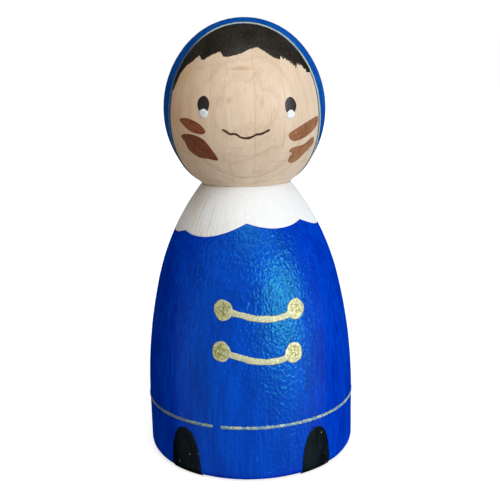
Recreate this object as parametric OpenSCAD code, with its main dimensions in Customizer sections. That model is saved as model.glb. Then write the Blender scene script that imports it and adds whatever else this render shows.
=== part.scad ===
// A turned wooden peg doll, painted as a child in a long hooded coat.
// One solid blank carries every film of paint, and each film is its own thin solid.
// Lengths are millimetres. Z is up, the doll stands on Z = 0 and looks along -Y.
// A turn is an angle round Z from the front, positive towards +X.

/* [Blank] */
// Height of the neck groove over the floor
body_h = 57; // [52:0.5:62]
// Height of the head from the neck groove to the crown
head_h = 32.9; // [30:0.1:37]
// Diameter of the straight foot
foot_d = 44; // [40:0.2:48]
// Height at which the foot starts to curve in
foot_h = 11.7; // [9:0.1:15]
// Radius that rounds the bottom edge
base_edge_r = 1.8; // [1:0.1:3]
// Lean of the flank where the shoulder starts, in degrees
flank_turn = 14; // [11:0.5:18]
// Lean of the shoulder at the neck groove, in degrees
shoulder_turn = 39; // [34:0.5:45]
// Diameter at the bottom of the neck groove
neck_d = 18.2; // [16:0.1:20]
// Diameter of the head at its widest
head_d = 32.9; // [31:0.1:36]
// Radius of the head's side below its widest level
jaw_r = 18.5; // [17:0.1:21]
// Angle at which the head's side gives way to the crown, in degrees
crown_turn = 42; // [36:1:50]

/* [Paint] */
// Thickness of the films that cover bare wood
coat_t = 0.15; // [0.1:0.01:0.25]
// Thickness of the lines and dots that are drawn last
pen_t = 0.12; // [0.08:0.01:0.2]
// Height at which the films stop, so that the doll stands on bare wood
paint_lift = 0.2; // [0.15:0.05:0.6]

/* [Hood and hair] */
// Turn of the hood's edge from the front, where it is furthest forward, in degrees
hood_edge_turn = 60.6; // [56:0.2:66]
// Height of that place over the widest level of the head
hood_front_rise = 3.2; // [1:0.1:5]
// Radius by which the edge runs back over the brow, seen from the side
hood_brow_r = 100; // [70:1:140]
// Radius by which the edge runs back under the cheeks, seen from the side
hood_cheek_r = 22; // [19:0.5:26]
// Width of the gold line along the hood's edge
hood_trim_w = 0.5; // [0.3:0.05:0.9]

/* [Face] */
// Turn of the left eye from the front, in degrees
left_eye_turn = -27.9; // [-32:0.1:-24]
// Turn of the right eye from the front, in degrees
right_eye_turn = 31.9; // [26:0.1:35]
// Height of the eyes over the widest level of the head
eye_rise = 1.2; // [0:0.05:2.5]
// Width of an eye
eye_w = 2.55; // [2:0.05:3.2]
// Height of an eye
eye_h = 3.2; // [2.6:0.05:4]
// Diameter of the white dot at the lower end of an eye
glint_d = 1.85; // [1.2:0.05:2.4]
// Width of the mouth
mouth_w = 8.9; // [7:0.1:11]
// Depth of the mouth from its corners to its lowest point
mouth_depth = 1.75; // [1:0.05:2.5]
// Depth of the lowest point of the mouth under the widest level of the head
mouth_drop = 4.85; // [4:0.05:6]
// Width of the line of the mouth
mouth_line_w = 0.38; // [0.25:0.01:0.6]
// Sweep of a cheek stroke round the head, in degrees
cheek_sweep = 27.9; // [23:0.1:28.5]

/* [Collar] */
// Height of the collar from its points to the neck groove
collar_h = 7.35; // [6:0.05:9]
// Radius of the collar's lobes
lobe_r = 16; // [10:0.1:18]

/* [Coat] */
// Height of the upper fastening
upper_frog_z = 34.4; // [32:0.1:38]
// Height of the lower fastening
lower_frog_z = 26.35; // [22:0.05:28]
// Distance between the two buttons of a fastening
frog_span = 14; // [11:0.1:16]
// Sag of a fastening's cord under its buttons
frog_sag = 1.5; // [0.8:0.05:2.5]
// Width of a fastening's cord
frog_cord_w = 1.3; // [0.8:0.05:1.6]
// Width of a button
button_w = 3.45; // [3:0.05:4.6]
// Height of a button
button_h = 4; // [3.4:0.05:5.2]
// Height of the hem line
hem_z = 11.65; // [11:0.05:14]
// Width of the hem line
hem_w = 0.75; // [0.4:0.05:1.2]
// Gap where the two ends of the hem line miss each other
hem_gap = 1.4; // [0.6:0.1:3]
// Width of a boot at the bottom edge
boot_w = 7.5; // [6:0.1:9]
// Height of a boot
boot_h = 10.1; // [8:0.1:10.4]

/* [Hidden] */
$fn = 96;

// Paint colours
wood_colour = [0.83, 0.67, 0.50];
blue_colour = [0.02, 0.22, 0.62];
white_colour = [0.93, 0.93, 0.92];
gold_colour = [0.78, 0.66, 0.33];
hair_colour = [0.11, 0.09, 0.09];
brown_colour = [0.47, 0.25, 0.14];
black_colour = [0.03, 0.03, 0.05];

// The flank and shoulder are two arcs, tangent to each other and to the foot.
// Their radii follow from the height and the narrowing that they have to make.
foot_r = foot_d / 2;
neck_r = neck_d / 2;
rise = body_h - foot_h;
narrowing = foot_r - neck_r;
flank_out = 1 - cos(flank_turn);
flank_up = sin(flank_turn);
shoulder_out = cos(flank_turn) - cos(shoulder_turn);
shoulder_up = sin(shoulder_turn) - sin(flank_turn);
pair = flank_out * shoulder_up - flank_up * shoulder_out;
flank_r = (narrowing * shoulder_up - rise * shoulder_out) / pair;
shoulder_r = (rise * flank_out - narrowing * flank_up) / pair;
flank_centre = [foot_r - flank_r, foot_h];
shoulder_centre = flank_centre + (flank_r - shoulder_r) * [cos(flank_turn), sin(flank_turn)];

// The head is three arcs: jaw, temple and crown. The crown's centre lies on the axis.
head_r = head_d / 2;
jaw_centre_r = head_r - jaw_r;
head_z = body_h + sqrt(jaw_r * jaw_r - (neck_r - jaw_centre_r) * (neck_r - jaw_centre_r));
doll_h = body_h + head_h;
crown_rise = doll_h - head_z;
arc_step = (crown_rise - head_r) / (cos(crown_turn) + sin(crown_turn) - 1);
temple_r = head_r + arc_step * cos(crown_turn);
crown_r = crown_rise - arc_step * sin(crown_turn);

// What is painted on the head keeps its place and reach round it when the head grows
hood_front = head_r * cos(hood_edge_turn);
cheek_l = 2 * head_r * sin(cheek_sweep / 2);
eye_turns = [left_eye_turn, right_eye_turn];
// The left eye sits a little higher than the right one, in shares of an eye's height
eye_lift_shares = [0.09, -0.09];

// How far a drawn outline reaches from the axis, and how far a cut runs past a solid
reach = foot_d;
overrun = base_edge_r;

// Fringe, left to right, as shares of the head's radius and of the crown's rise
fringe_shares = [[-0.83, 0.235], [-0.79, 0.31], [-0.735, 0.41], [-0.655, 0.485], [-0.58, 0.53],
    [-0.50, 0.585], [-0.48, 0.535], [-0.45, 0.535], [-0.37, 0.575], [-0.26, 0.615], [-0.225, 0.56],
    [-0.16, 0.555], [-0.04, 0.58], [0.085, 0.63], [0.165, 0.645], [0.26, 0.59], [0.34, 0.54],
    [0.415, 0.515], [0.425, 0.55], [0.52, 0.505], [0.61, 0.44], [0.62, 0.48], [0.68, 0.455],
    [0.755, 0.38]];

// Mouth from left to right, as shares of half its width and of its depth
mouth_shares = [[-1, 1], [-0.84, 0.74], [-0.67, 0.47], [-0.52, 0.5], [-0.38, 0.38], [-0.24, 0.13],
    [0, 0], [0.23, 0.12], [0.41, 0.35], [0.63, 0.43], [0.84, 0.65], [1, 0.86]];
mouth_turn = 0.8;

// Cheek strokes, each round its own middle, as shares of the length of a stroke
left_upper_shares = [[-0.40, 0.16], [-0.16, 0.19], [0.11, 0.12], [0.29, 0.02], [0.39, -0.12],
    [0.31, -0.19], [0.13, -0.18], [-0.11, -0.10], [-0.29, 0.03]];
left_lower_shares = [[-0.49, 0.27], [-0.28, 0.33], [0.10, 0.27], [0.32, 0.10], [0.47, -0.29],
    [0.20, -0.28], [-0.07, -0.24], [-0.32, -0.07], [-0.40, 0.13]];
right_upper_shares = [[0.51, 0.27], [0.55, 0.12], [0.38, -0.05], [0.01, -0.23], [-0.27, -0.29],
    [-0.44, -0.23], [-0.50, -0.11], [-0.33, 0.00], [0.00, 0.14], [0.31, 0.24]];
right_lower_shares = [[0.39, 0.30], [0.46, 0.15], [0.26, -0.02], [0.03, -0.21], [-0.13, -0.30],
    [-0.31, -0.27], [-0.35, -0.15], [-0.31, -0.05], [-0.43, 0.00], [-0.35, 0.09], [0.00, 0.15],
    [0.25, 0.28]];
// Turn from the hood's edge back to the middle of each stroke, left then right, in degrees
upper_cheek_insets = [22, 14.6];
lower_cheek_insets = [23.6, 12.6];
// Depth of the middle of each pair of strokes under the eyes, as shares of the head's radius
upper_cheek_drop_shares = [0.225, 0.285];
lower_cheek_drop_shares = [0.475, 0.545];

// Points of the collar: turns as shares of a full turn, depths as shares of the collar's height
cusp_turn_shares = [-0.159, -0.002, 0.139, 0.281, 0.423, 0.567, 0.709];
cusp_depth_shares = [1.19, 0.91, 0.93, 1.1, 1, 0.97, 1.1];

// The coat's fastenings: turn of the middle and tilt, in degrees, upper then lower
frog_turns = [6.3, 4.2];
frog_tilts = [-1.9, -3.4];
// Centre line of a cord as shares of half its span and of its sag
cord_shares = [[-1, 0], [-0.7, -0.35], [-0.45, -0.58], [-0.2, -0.87], [0.1, -1], [0.38, -1], [0.65, -0.8],
    [1, -0.25]];
button_wobble = 0.02;

hem_gap_turn = -18;
boot_turns = [-37.5, 36];
// Size of each boot against the left one
boot_shares = [1, 0.957];

// Points and curves

// Point of a smooth curve between b and c, with a before them and d after them
function curve_point(a, b, c, d, t) =
    (2 * b + (c - a) * t + (2 * a - 5 * b + 4 * c - d) * t * t
    + (3 * b - a - 3 * c + d) * t * t * t) / 2;

// Closed smooth curve through the points p
function smooth_loop(p, steps = 5) =
    let (n = len(p))
    [for (i = [0 : n - 1], k = [0 : steps - 1])
        curve_point(p[(i + n - 1) % n], p[i], p[(i + 1) % n], p[(i + 2) % n], k / steps)];

// Open smooth curve through the points p
function smooth_line(p, steps = 4) =
    let (last = len(p) - 1)
    concat(
        [for (i = [0 : last - 1], k = [0 : steps - 1])
            curve_point(p[max(i - 1, 0)], p[i], p[i + 1], p[min(i + 2, last)], k / steps)],
        [p[last]]);

// Unit vector along the line p at its point i
function heading(p, i) =
    let (v = p[min(i + 1, len(p) - 1)] - p[max(i - 1, 0)])
    v / norm(v);

// Half circle of points round a pen's end, from the left of the heading v to its right
function pen_end(c, v, r, steps = 6) =
    [for (k = [1 : steps - 1])
        let (a = atan2(v[1], v[0]) + 90 - 180 * k / steps)
        c + r * [cos(a), sin(a)]];

// Outline of a pen line of width w along the points p, with round ends
function pen_outline(p, w) =
    let (last = len(p) - 1, r = w / 2)
    concat(
        [for (i = [0 : last]) let (v = heading(p, i)) p[i] + r * [-v[1], v[0]]],
        pen_end(p[last], heading(p, last), r),
        [for (i = [last : -1 : 0]) let (v = heading(p, i)) p[i] - r * [-v[1], v[0]]],
        pen_end(p[0], -heading(p, 0), r));

// Oval of width w and height h, with an uneven edge where wobble is over 0
function oval(w, h, wobble = 0, phase = 0, steps = 40) =
    [for (k = [0 : steps - 1])
        let (a = 360 * k / steps, grow = 1 + wobble * (cos(3 * a + phase) + sin(5 * a + 2 * phase)))
        grow * [w * cos(a), h * sin(a)] / 2];

// Points given as shares, in real sizes
function scaled(shares, x_size, y_size) = [for (s = shares) [s[0] * x_size, s[1] * y_size]];

// Sections of the blank: r across and Z up, with every curved side moved out by t

module body_section(t = 0) {
    flank_top = foot_h + (flank_r + t) * sin(flank_turn);
    square([foot_r - base_edge_r, foot_h]);
    translate([0, base_edge_r])
        square([foot_r + t, foot_h - base_edge_r]);
    intersection() {
        translate([foot_r - base_edge_r, base_edge_r])
            circle(base_edge_r + t);
        square([foot_r + t, base_edge_r]);
    }
    intersection() {
        translate(flank_centre)
            circle(flank_r + t);
        translate([0, foot_h])
            square([foot_r + t, flank_top - foot_h]);
    }
    intersection() {
        translate(shoulder_centre)
            circle(shoulder_r + t);
        translate([0, flank_top])
            square([foot_r + t, body_h - flank_top]);
    }
}

module head_section(t = 0) {
    temple_top = head_z + (temple_r + t) * sin(crown_turn);
    intersection() {
        translate([jaw_centre_r, head_z])
            circle(jaw_r + t);
        translate([0, body_h])
            square([head_r + t, head_z - body_h]);
    }
    intersection() {
        translate([head_r - temple_r, head_z])
            circle(temple_r + t);
        translate([0, head_z])
            square([head_r + t, temple_top - head_z]);
    }
    intersection() {
        translate([0, doll_h - crown_r])
            circle(crown_r + t);
        translate([0, temple_top])
            square([head_r + t, doll_h + t - temple_top]);
    }
}

// Films that follow the turned surface, from height t0 to height t1 over the wood

module body_film(t0, t1) {
    rotate_extrude()
        difference() {
            body_section(t1);
            body_section(t0);
            square([foot_d, paint_lift]);
        }
}

module head_film(t0, t1) {
    rotate_extrude()
        difference() {
            head_section(t1);
            head_section(t0);
        }
}

// A flat outline, held upright and pushed out from the axis at a turn
module facing(turn, height = 0) {
    rotate([0, 0, turn])
        rotate([90, 0, 0])
            linear_extrude(reach)
                translate([0, height])
                    children();
}

// Paint laid on the head or on the body inside an outline that faces out at a turn
module on_head(turn, height, t0 = 0, t1 = pen_t) {
    intersection() {
        head_film(t0, t1);
        facing(turn, height) children();
    }
}

module on_coat(turn, height = 0) {
    intersection() {
        body_film(coat_t, coat_t + pen_t);
        facing(turn, height) children();
    }
}

// Blank

module wood_blank() {
    color(wood_colour)
        rotate_extrude()
            union() {
                body_section();
                head_section();
            }
}

// Collar and coat, which meet along the scallops

function shoulder_radius(z) =
    shoulder_centre[0] + sqrt(shoulder_r * shoulder_r - pow(z - shoulder_centre[1], 2));

// Everything above the scalloped edge: one disc for each lobe, through the lobe's two points
module above_scallops() {
    lobes = len(cusp_turn_shares);
    for (i = [0 : lobes - 1]) {
        next = (i + 1) % lobes;
        turn_0 = 360 * cusp_turn_shares[i];
        turn_1 = 360 * (cusp_turn_shares[next] + (next == 0 ? 1 : 0));
        z_0 = body_h - collar_h * cusp_depth_shares[i];
        z_1 = body_h - collar_h * cusp_depth_shares[next];
        half = (turn_1 - turn_0) / 2;
        point_0 = [-shoulder_radius(z_0) * sin(half), z_0];
        point_1 = [shoulder_radius(z_1) * sin(half), z_1];
        along = (point_1 - point_0) / 2;
        up = [-along[1], along[0]] / norm(along);
        centre = point_0 + along + up * sqrt(lobe_r * lobe_r - along * along);
        facing((turn_0 + turn_1) / 2)
            translate(centre)
                circle(lobe_r);
    }
}

module collar_paint() {
    color(white_colour)
        intersection() {
            body_film(0, coat_t);
            above_scallops();
        }
}

module coat_paint() {
    color(blue_colour)
        difference() {
            body_film(0, coat_t);
            above_scallops();
        }
}

// Hood: everything behind its edge, which is two arcs seen from the side

module behind_hood_edge(inset = 0) {
    edge_z = head_z + hood_front_rise;
    rotate([90, 0, 90])
        linear_extrude(2 * reach, center = true) {
            intersection() {
                translate([hood_brow_r - hood_front, edge_z])
                    circle(hood_brow_r - inset);
                translate([-reach, edge_z])
                    square([2 * reach, doll_h + overrun - edge_z]);
            }
            intersection() {
                translate([hood_cheek_r - hood_front, edge_z])
                    circle(hood_cheek_r - inset);
                translate([-reach, 0])
                    square([2 * reach, edge_z]);
            }
            translate([hood_cheek_r - hood_front, 0])
                square([reach, edge_z]);
        }
}

// The crown of the head as a ball whose poles lie level, grown by t
module crown_ball(t) {
    translate([0, 0, doll_h - crown_r])
        rotate([90, 0, 0])
            sphere(crown_r + t);
}

// The hood takes its crown from the ball, from a little above the seam between temple and crown
module hood_paint() {
    join_z = head_z + (temple_r + 2 * coat_t) * sin(crown_turn);
    color(blue_colour) {
        intersection() {
            head_film(0, coat_t);
            behind_hood_edge();
            cylinder(h = join_z, d = 2 * head_d);
        }
        difference() {
            intersection() {
                crown_ball(coat_t);
                behind_hood_edge();
                translate([0, 0, join_z])
                    cylinder(h = head_h, d = 2 * head_d);
            }
            crown_ball(0);
        }
    }
}

module hood_trim() {
    color(gold_colour)
        intersection() {
            head_film(coat_t, coat_t + pen_t);
            difference() {
                behind_hood_edge();
                behind_hood_edge(hood_trim_w);
            }
        }
}

module hair_paint() {
    fringe = scaled(fringe_shares, head_r, crown_rise);
    last = len(fringe) - 1;
    side = head_r + overrun;
    top = crown_rise + overrun;
    color(hair_colour)
        difference() {
            on_head(0, head_z, 0, coat_t)
                polygon(concat(
                    [[-side, top], [-side, fringe[0][1]]],
                    fringe,
                    [[side, fringe[last][1]], [side, top]]));
            behind_hood_edge();
        }
}

// Face

function eye_height(i) = head_z + eye_rise + eye_h * eye_lift_shares[i];

module eye(i) {
    color(black_colour)
        on_head(eye_turns[i], eye_height(i))
            polygon(oval(eye_w, eye_h));
}

// The dot lies half on the eye and half on the wood, and is as high over both
module glint(i) {
    color(white_colour)
        difference() {
            intersection() {
                rotate_extrude()
                    head_section(2 * pen_t);
                facing(eye_turns[i], eye_height(i) - eye_h / 2)
                    circle(d = glint_d);
            }
            rotate_extrude()
                head_section();
            intersection() {
                rotate_extrude()
                    head_section(pen_t);
                facing(eye_turns[i], eye_height(i))
                    polygon(oval(eye_w, eye_h));
            }
        }
}

module mouth_line() {
    line = smooth_line(scaled(mouth_shares, mouth_w / 2, mouth_depth));
    color(brown_colour)
        on_head(mouth_turn, head_z - mouth_drop)
            polygon(pen_outline(line, mouth_line_w));
}

module cheek(side, inset, drop_share, shares) {
    color(brown_colour)
        on_head(side * (hood_edge_turn - inset), head_z + eye_rise - drop_share * head_r)
            polygon(smooth_loop(scaled(shares, cheek_l, cheek_l)));
}

// Coat fastenings

module button_outline(i, side) {
    translate([side * frog_span / 2, 0])
        polygon(oval(button_w, button_h, button_wobble, 75 * i + 40 * side));
}

module button(i, side, height) {
    color(gold_colour)
        on_coat(frog_turns[i], height)
            rotate(frog_tilts[i])
                button_outline(i, side);
}

module frog_cord(i, height) {
    line = smooth_line(scaled(cord_shares, frog_span / 2, frog_sag));
    color(gold_colour)
        on_coat(frog_turns[i], height)
            rotate(frog_tilts[i])
                difference() {
                    polygon(pen_outline(line, frog_cord_w));
                    button_outline(i, -1);
                    button_outline(i, 1);
                }
}

module hem_line() {
    color(gold_colour)
        difference() {
            intersection() {
                body_film(coat_t, coat_t + pen_t);
                translate([0, 0, hem_z - hem_w / 2])
                    cylinder(h = hem_w, d = 2 * foot_d);
            }
            facing(hem_gap_turn, hem_z)
                square([hem_gap, 2 * hem_w], center = true);
        }
}

module boot(i) {
    color(black_colour)
        on_coat(boot_turns[i])
            polygon(oval(boot_w * boot_shares[i], 2 * boot_h * boot_shares[i]));
}

wood_blank();
coat_paint();
collar_paint();
hood_paint();
hood_trim();
hair_paint();
eye(0);  // left_eye
eye(1);  // right_eye
glint(0);  // left_eye_glint
glint(1);  // right_eye_glint
mouth_line();
cheek(-1, upper_cheek_insets[0], upper_cheek_drop_shares[0], left_upper_shares);  // left_upper_cheek
cheek(-1, lower_cheek_insets[0], lower_cheek_drop_shares[0], left_lower_shares);  // left_lower_cheek
cheek(1, upper_cheek_insets[1], upper_cheek_drop_shares[1], right_upper_shares);  // right_upper_cheek
cheek(1, lower_cheek_insets[1], lower_cheek_drop_shares[1], right_lower_shares);  // right_lower_cheek
frog_cord(0, upper_frog_z);  // upper_frog_cord
button(0, -1, upper_frog_z);  // upper_left_button
button(0, 1, upper_frog_z);  // upper_right_button
frog_cord(1, lower_frog_z);  // lower_frog_cord
button(1, -1, lower_frog_z);  // lower_left_button
button(1, 1, lower_frog_z);  // lower_right_button
hem_line();
boot(0);  // left_boot
boot(1);  // right_boot
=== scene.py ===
import random
from math import acos, atan2, cos, hypot, pi, radians, sin, sqrt

import bpy
import numpy as np
from mathutils import Matrix, Vector
from mathutils.geometry import delaunay_2d_cdt


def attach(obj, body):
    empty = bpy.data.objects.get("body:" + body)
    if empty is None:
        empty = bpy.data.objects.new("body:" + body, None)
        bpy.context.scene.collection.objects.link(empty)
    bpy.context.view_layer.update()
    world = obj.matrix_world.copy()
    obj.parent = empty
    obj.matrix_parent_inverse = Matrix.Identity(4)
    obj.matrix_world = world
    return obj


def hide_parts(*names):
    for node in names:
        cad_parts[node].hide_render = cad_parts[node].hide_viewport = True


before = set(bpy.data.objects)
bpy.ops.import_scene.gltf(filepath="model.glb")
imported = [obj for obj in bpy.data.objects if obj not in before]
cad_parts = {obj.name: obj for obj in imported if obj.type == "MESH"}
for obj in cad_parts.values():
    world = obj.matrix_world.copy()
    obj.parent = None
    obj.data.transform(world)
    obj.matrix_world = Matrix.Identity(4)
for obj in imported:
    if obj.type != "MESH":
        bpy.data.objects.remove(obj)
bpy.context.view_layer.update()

# Studio: a camera at the photograph's viewing angle, lamps for the room's windows and its warm wall,
# and a pale floor that runs into a pale backdrop. None of it is part of the doll.
mm = 0.001
scene = bpy.context.scene
scene.view_settings.view_transform = "Standard"

camera_place = Vector((0, -157 * mm, 75.57 * mm))
camera_pitch = radians(12.02)
camera_roll = radians(-1.27)
camera_yaw = radians(0.18)
camera_data = bpy.data.cameras.new("camera")
camera_data.sensor_fit = "VERTICAL"
camera_data.sensor_height = 36
camera_data.lens = 53.89
camera_data.clip_start = 5 * mm
camera = bpy.data.objects.new("camera", camera_data)
camera.matrix_world = (Matrix.Translation(camera_place)
    @ Matrix.Rotation(-camera_yaw, 4, "Z")
    @ Matrix.Rotation(pi / 2 - camera_pitch, 4, "X")
    @ Matrix.Rotation(camera_roll, 4, "Z"))
scene.collection.objects.link(camera)
scene.camera = camera


def add_lamp(name, turn, rise, spread, strength, colour=(1, 1, 1)):
    """A lamp far away, at a turn from the front and a rise over the floor, both in degrees."""
    data = bpy.data.lights.new(name, "SUN")
    data.energy = strength
    data.color = colour
    data.angle = radians(spread)
    lamp = bpy.data.objects.new(name, data)
    lamp.rotation_euler = (radians(90 - rise), 0, radians(turn))
    scene.collection.objects.link(lamp)


add_lamp("window", turn=42, rise=8, spread=36, strength=2.75)
add_lamp("overhead", turn=8, rise=58, spread=40, strength=1.1)
add_lamp("far_window", turn=172, rise=15, spread=80, strength=1.7)
add_lamp("under_window", turn=20, rise=-40, spread=80, strength=2)
add_lamp("wall", turn=-32, rise=18, spread=80, strength=0.58, colour=(1, 0.78, 0.5))


class Wire:
    """What a node sends out. Arithmetic on it adds the nodes that work it out to the same tree."""

    def __init__(self, node, output=0):
        self.node, self.output, self.tree = node, output, node.id_data

    def __getitem__(self, output):
        return Wire(self.node, output)

    def __add__(self, other):
        return maths("ADD", self, other)

    def __sub__(self, other):
        return maths("SUBTRACT", self, other)

    def __rsub__(self, other):
        return maths("SUBTRACT", other, self)

    def __mul__(self, other):
        return maths("MULTIPLY", self, other)

    def __truediv__(self, other):
        return maths("DIVIDE", self, other)

    def __rtruediv__(self, other):
        return maths("DIVIDE", other, self)

    __radd__, __rmul__ = __add__, __mul__


def feed(sockets, values):
    """Gives each socket, by its name or number, a value or a wire."""
    for name, value in values.items():
        if isinstance(value, Wire):
            value.tree.links.new(value.node.outputs[value.output], sockets[name])
        else:
            sockets[name].default_value = value


def place(tree, kind, inputs=None, **settings):
    """Adds a node with its settings and inputs. Returns the wire from its first output."""
    node = tree.nodes.new(kind)
    for name, value in settings.items():
        setattr(node, name, value)
    feed(node.inputs, inputs or {})
    return Wire(node)


def maths(operation, *values, kind="ShaderNodeMath"):
    """One step of arithmetic on wires and numbers, in the tree that the wires belong to."""
    tree = next(value.tree for value in values if isinstance(value, Wire))
    return place(tree, kind, dict(enumerate(values)), operation=operation)


def vector_maths(operation, *values):
    """One step of arithmetic on vectors."""
    return maths(operation, *values, kind="ShaderNodeVectorMath")


def split(value, kind="ShaderNodeSeparateXYZ"):
    """The three parts of a vector or a colour."""
    node = place(value.tree, kind, {0: value})
    return [node[k] for k in range(3)]


def ramp(value, low, high, to_low=0.0, to_high=1.0):
    """Smooth step of a value from low to high."""
    inputs = {"Value": value, "From Min": low, "From Max": high, "To Min": to_low, "To Max": to_high}
    return place(value.tree, "ShaderNodeMapRange", inputs, interpolation_type="SMOOTHSTEP")


def seen_white(bright):
    """1 for the camera, and as much as the place is bright for reflections and glass, else 0."""
    path = place(bright.tree, "ShaderNodeLightPath")
    mirrored = maths("MAXIMUM", path["Is Glossy Ray"], path["Is Transmission Ray"]) * bright
    return maths("MAXIMUM", path["Is Camera Ray"], mirrored)


room_light = 0.04
backdrop_light = 1
backdrop_dim, backdrop_full = 0.86, 0.96
world = bpy.data.worlds.new("room")
world.use_nodes = True
scene.world = world
tree = world.node_tree
backward = split(place(tree, "ShaderNodeTexCoord")["Generated"])[1]
white = seen_white(ramp(backward, backdrop_dim, backdrop_full))
feed(tree.nodes["Background"].inputs, {"Color": (1, 1, 1, 1),
    "Strength": white * (backdrop_light - room_light) + room_light})

floor_size = 6
floor_z = -0.01 * mm
floor_glow = 0.72
opening_r = 20 * mm
floor_mesh = bpy.data.meshes.new("floor")
corners = [(x * floor_size, y * floor_size, floor_z) for x, y in ((-1, -1), (1, -1), (1, 1), (-1, 1))]
floor_mesh.from_pydata(corners, [], [(0, 1, 2, 3)])
floor = bpy.data.objects.new("floor", floor_mesh)
scene.collection.objects.link(floor)
pale_floor = bpy.data.materials.new("pale_floor")
pale_floor.use_nodes = True
tree = pale_floor.node_tree
place_on_floor = place(tree, "ShaderNodeTexCoord")["Object"]
x, y, _ = split(place_on_floor)
bright = maths("MAXIMUM", ramp(y, 0.3, 0.9), ramp(x, 0.0, 0.06, 0.0, 0.7))
# It glows at its far end and on the right, as if windows lit it. It can be looked through from below
# and is open under the doll, so that the underside is seen and lit.
in_opening = maths("LESS_THAN", vector_maths("LENGTH", place_on_floor)["Value"], opening_r)
see_through = maths("MAXIMUM", place(tree, "ShaderNodeNewGeometry")["Backfacing"], in_opening)
feed(tree.nodes["Principled BSDF"].inputs, {"Base Color": (0.6, 0.6, 0.6, 1), "Roughness": 0.9,
    "Specular IOR Level": 0.1, "Emission Color": (1, 1, 1, 1),
    "Emission Strength": seen_white(bright) * floor_glow, "Alpha": 1 - see_through})
floor_mesh.materials.append(pale_floor)

# Blank: one piece of beech turned on a lathe, from the rounded bottom edge to the crown. Two arcs
# make the body and three the head. It is sanded, and only the face and the underside stay bare.
foot_r = 22
foot_h = 11.7
base_edge_r = 1.8
flank_turn = radians(14)
shoulder_turn = radians(39)
neck_r = 9.1
body_h = 57
doll_h = 89.9
head_r = 16.45
jaw_r = 18.5
crown_turn = radians(42)
underside_steps, underside_points = 40, 36
foot_steps = 20
section_step = 0.45

rise = body_h - foot_h
narrowing = foot_r - neck_r
flank_step = Vector((1 - cos(flank_turn), sin(flank_turn)))
shoulder_step = Vector((cos(flank_turn) - cos(shoulder_turn),
    sin(shoulder_turn) - sin(flank_turn)))
pair = flank_step.cross(shoulder_step)
flank_r = (narrowing * shoulder_step.y - rise * shoulder_step.x) / pair
shoulder_r = (rise * flank_step.x - narrowing * flank_step.y) / pair
flank_centre = Vector((foot_r - flank_r, foot_h))
shoulder_centre = flank_centre + (flank_r - shoulder_r) * Vector((cos(flank_turn), sin(flank_turn)))
jaw_turn = -acos((neck_r - head_r + jaw_r) / jaw_r)
head_z = body_h - jaw_r * sin(jaw_turn)
crown_rise = doll_h - head_z
arc_step = (crown_rise - head_r) / (cos(crown_turn) + sin(crown_turn) - 1)
temple_r = head_r + arc_step * cos(crown_turn)
crown_r = crown_rise - arc_step * sin(crown_turn)

# Each arc of the section: its centre across and up, its radius, and the turns where it starts and ends
body_arcs = [((foot_r - base_edge_r, base_edge_r), base_edge_r, -pi / 2, 0),
    (flank_centre, flank_r, 0, flank_turn),
    (shoulder_centre, shoulder_r, flank_turn, shoulder_turn)]
head_arcs = [((head_r - jaw_r, head_z), jaw_r, jaw_turn, 0),
    ((head_r - temple_r, head_z), temple_r, 0, crown_turn),
    ((0, doll_h - crown_r), crown_r, crown_turn, pi / 2)]


def round_axis(radius, turn, z):
    """The place at a radius from the axis, a turn from the front and a height."""
    return radius * sin(turn), -radius * cos(turn), z


def wood_at(arcs, z, lift=0):
    """Radius of the blank, or of a film that lies lift over it, at a height in millimetres."""
    for (centre_r, centre_z), radius, start, end in arcs:
        reach = radius + lift
        low = centre_z + reach * sin(start)
        high = centre_z + reach * sin(end)
        if low <= z <= high:
            return centre_r + sqrt(max(reach * reach - (z - centre_z) ** 2, 0))
    return foot_r + lift if foot_h > z > base_edge_r else 0


def blank_section():
    """The section of the blank from the middle of the underside to the crown."""
    flat = [Vector((foot_r * k / underside_steps, 0)) for k in range(underside_points)]
    side = [Vector((foot_r, base_edge_r + (foot_h - base_edge_r) * k / foot_steps))
        for k in range(1, foot_steps)]
    for (centre_r, centre_z), radius, start, end in body_arcs + head_arcs:
        steps = max(4, round(radius * (end - start) / section_step))
        for k in range(steps + 1):
            turn = start + (end - start) * k / steps
            side.append(Vector((centre_r + radius * cos(turn), centre_z + radius * sin(turn))))
    return flat + sorted(side, key=lambda p: p.y)


def new_mesh(name, points, faces=None):
    """A mesh from points in millimetres. Where no faces are given, it is a line through them."""
    mesh = bpy.data.meshes.new(name)
    edges = [] if faces else [(k, k + 1) for k in range(len(points) - 1)]
    mesh.from_pydata([tuple(c * mm for c in p) for p in points], edges, faces or [])
    return mesh


def add_sockets(tree, inputs, outputs):
    """Gives a tree its named inputs, with their first values, and its named outputs."""
    for label, kind, *value in inputs:
        socket = tree.interface.new_socket(label, in_out="INPUT", socket_type="NodeSocket" + kind)
        if value:
            socket.default_value = value[0]
    for label, kind in outputs:
        tree.interface.new_socket(label, in_out="OUTPUT", socket_type="NodeSocket" + kind)


def new_tree(name, inputs):
    """A tree for the Geometry Nodes modifier with a geometry, these named inputs and a finish."""
    tree = bpy.data.node_groups.new(name, "GeometryNodeTree")
    tree.is_modifier = True
    geometry = ("Geometry", "Geometry")
    add_sockets(tree, [geometry] + inputs + [("Finish", "Material")], [geometry])
    return tree, place(tree, "NodeGroupInput")


def end_tree(start, geometry):
    """Shades the result smooth, makes it real and gives it its finish. Returns the whole tree."""
    tree = start.tree
    smooth = place(tree, "GeometryNodeSetShadeSmooth", {"Geometry": geometry})
    real = place(tree, "GeometryNodeRealizeInstances", {"Geometry": smooth})
    dressed = place(tree, "GeometryNodeSetMaterial", {"Geometry": real, "Material": start["Finish"]})
    place(tree, "NodeGroupOutput", {"Geometry": dressed})
    return tree


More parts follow.
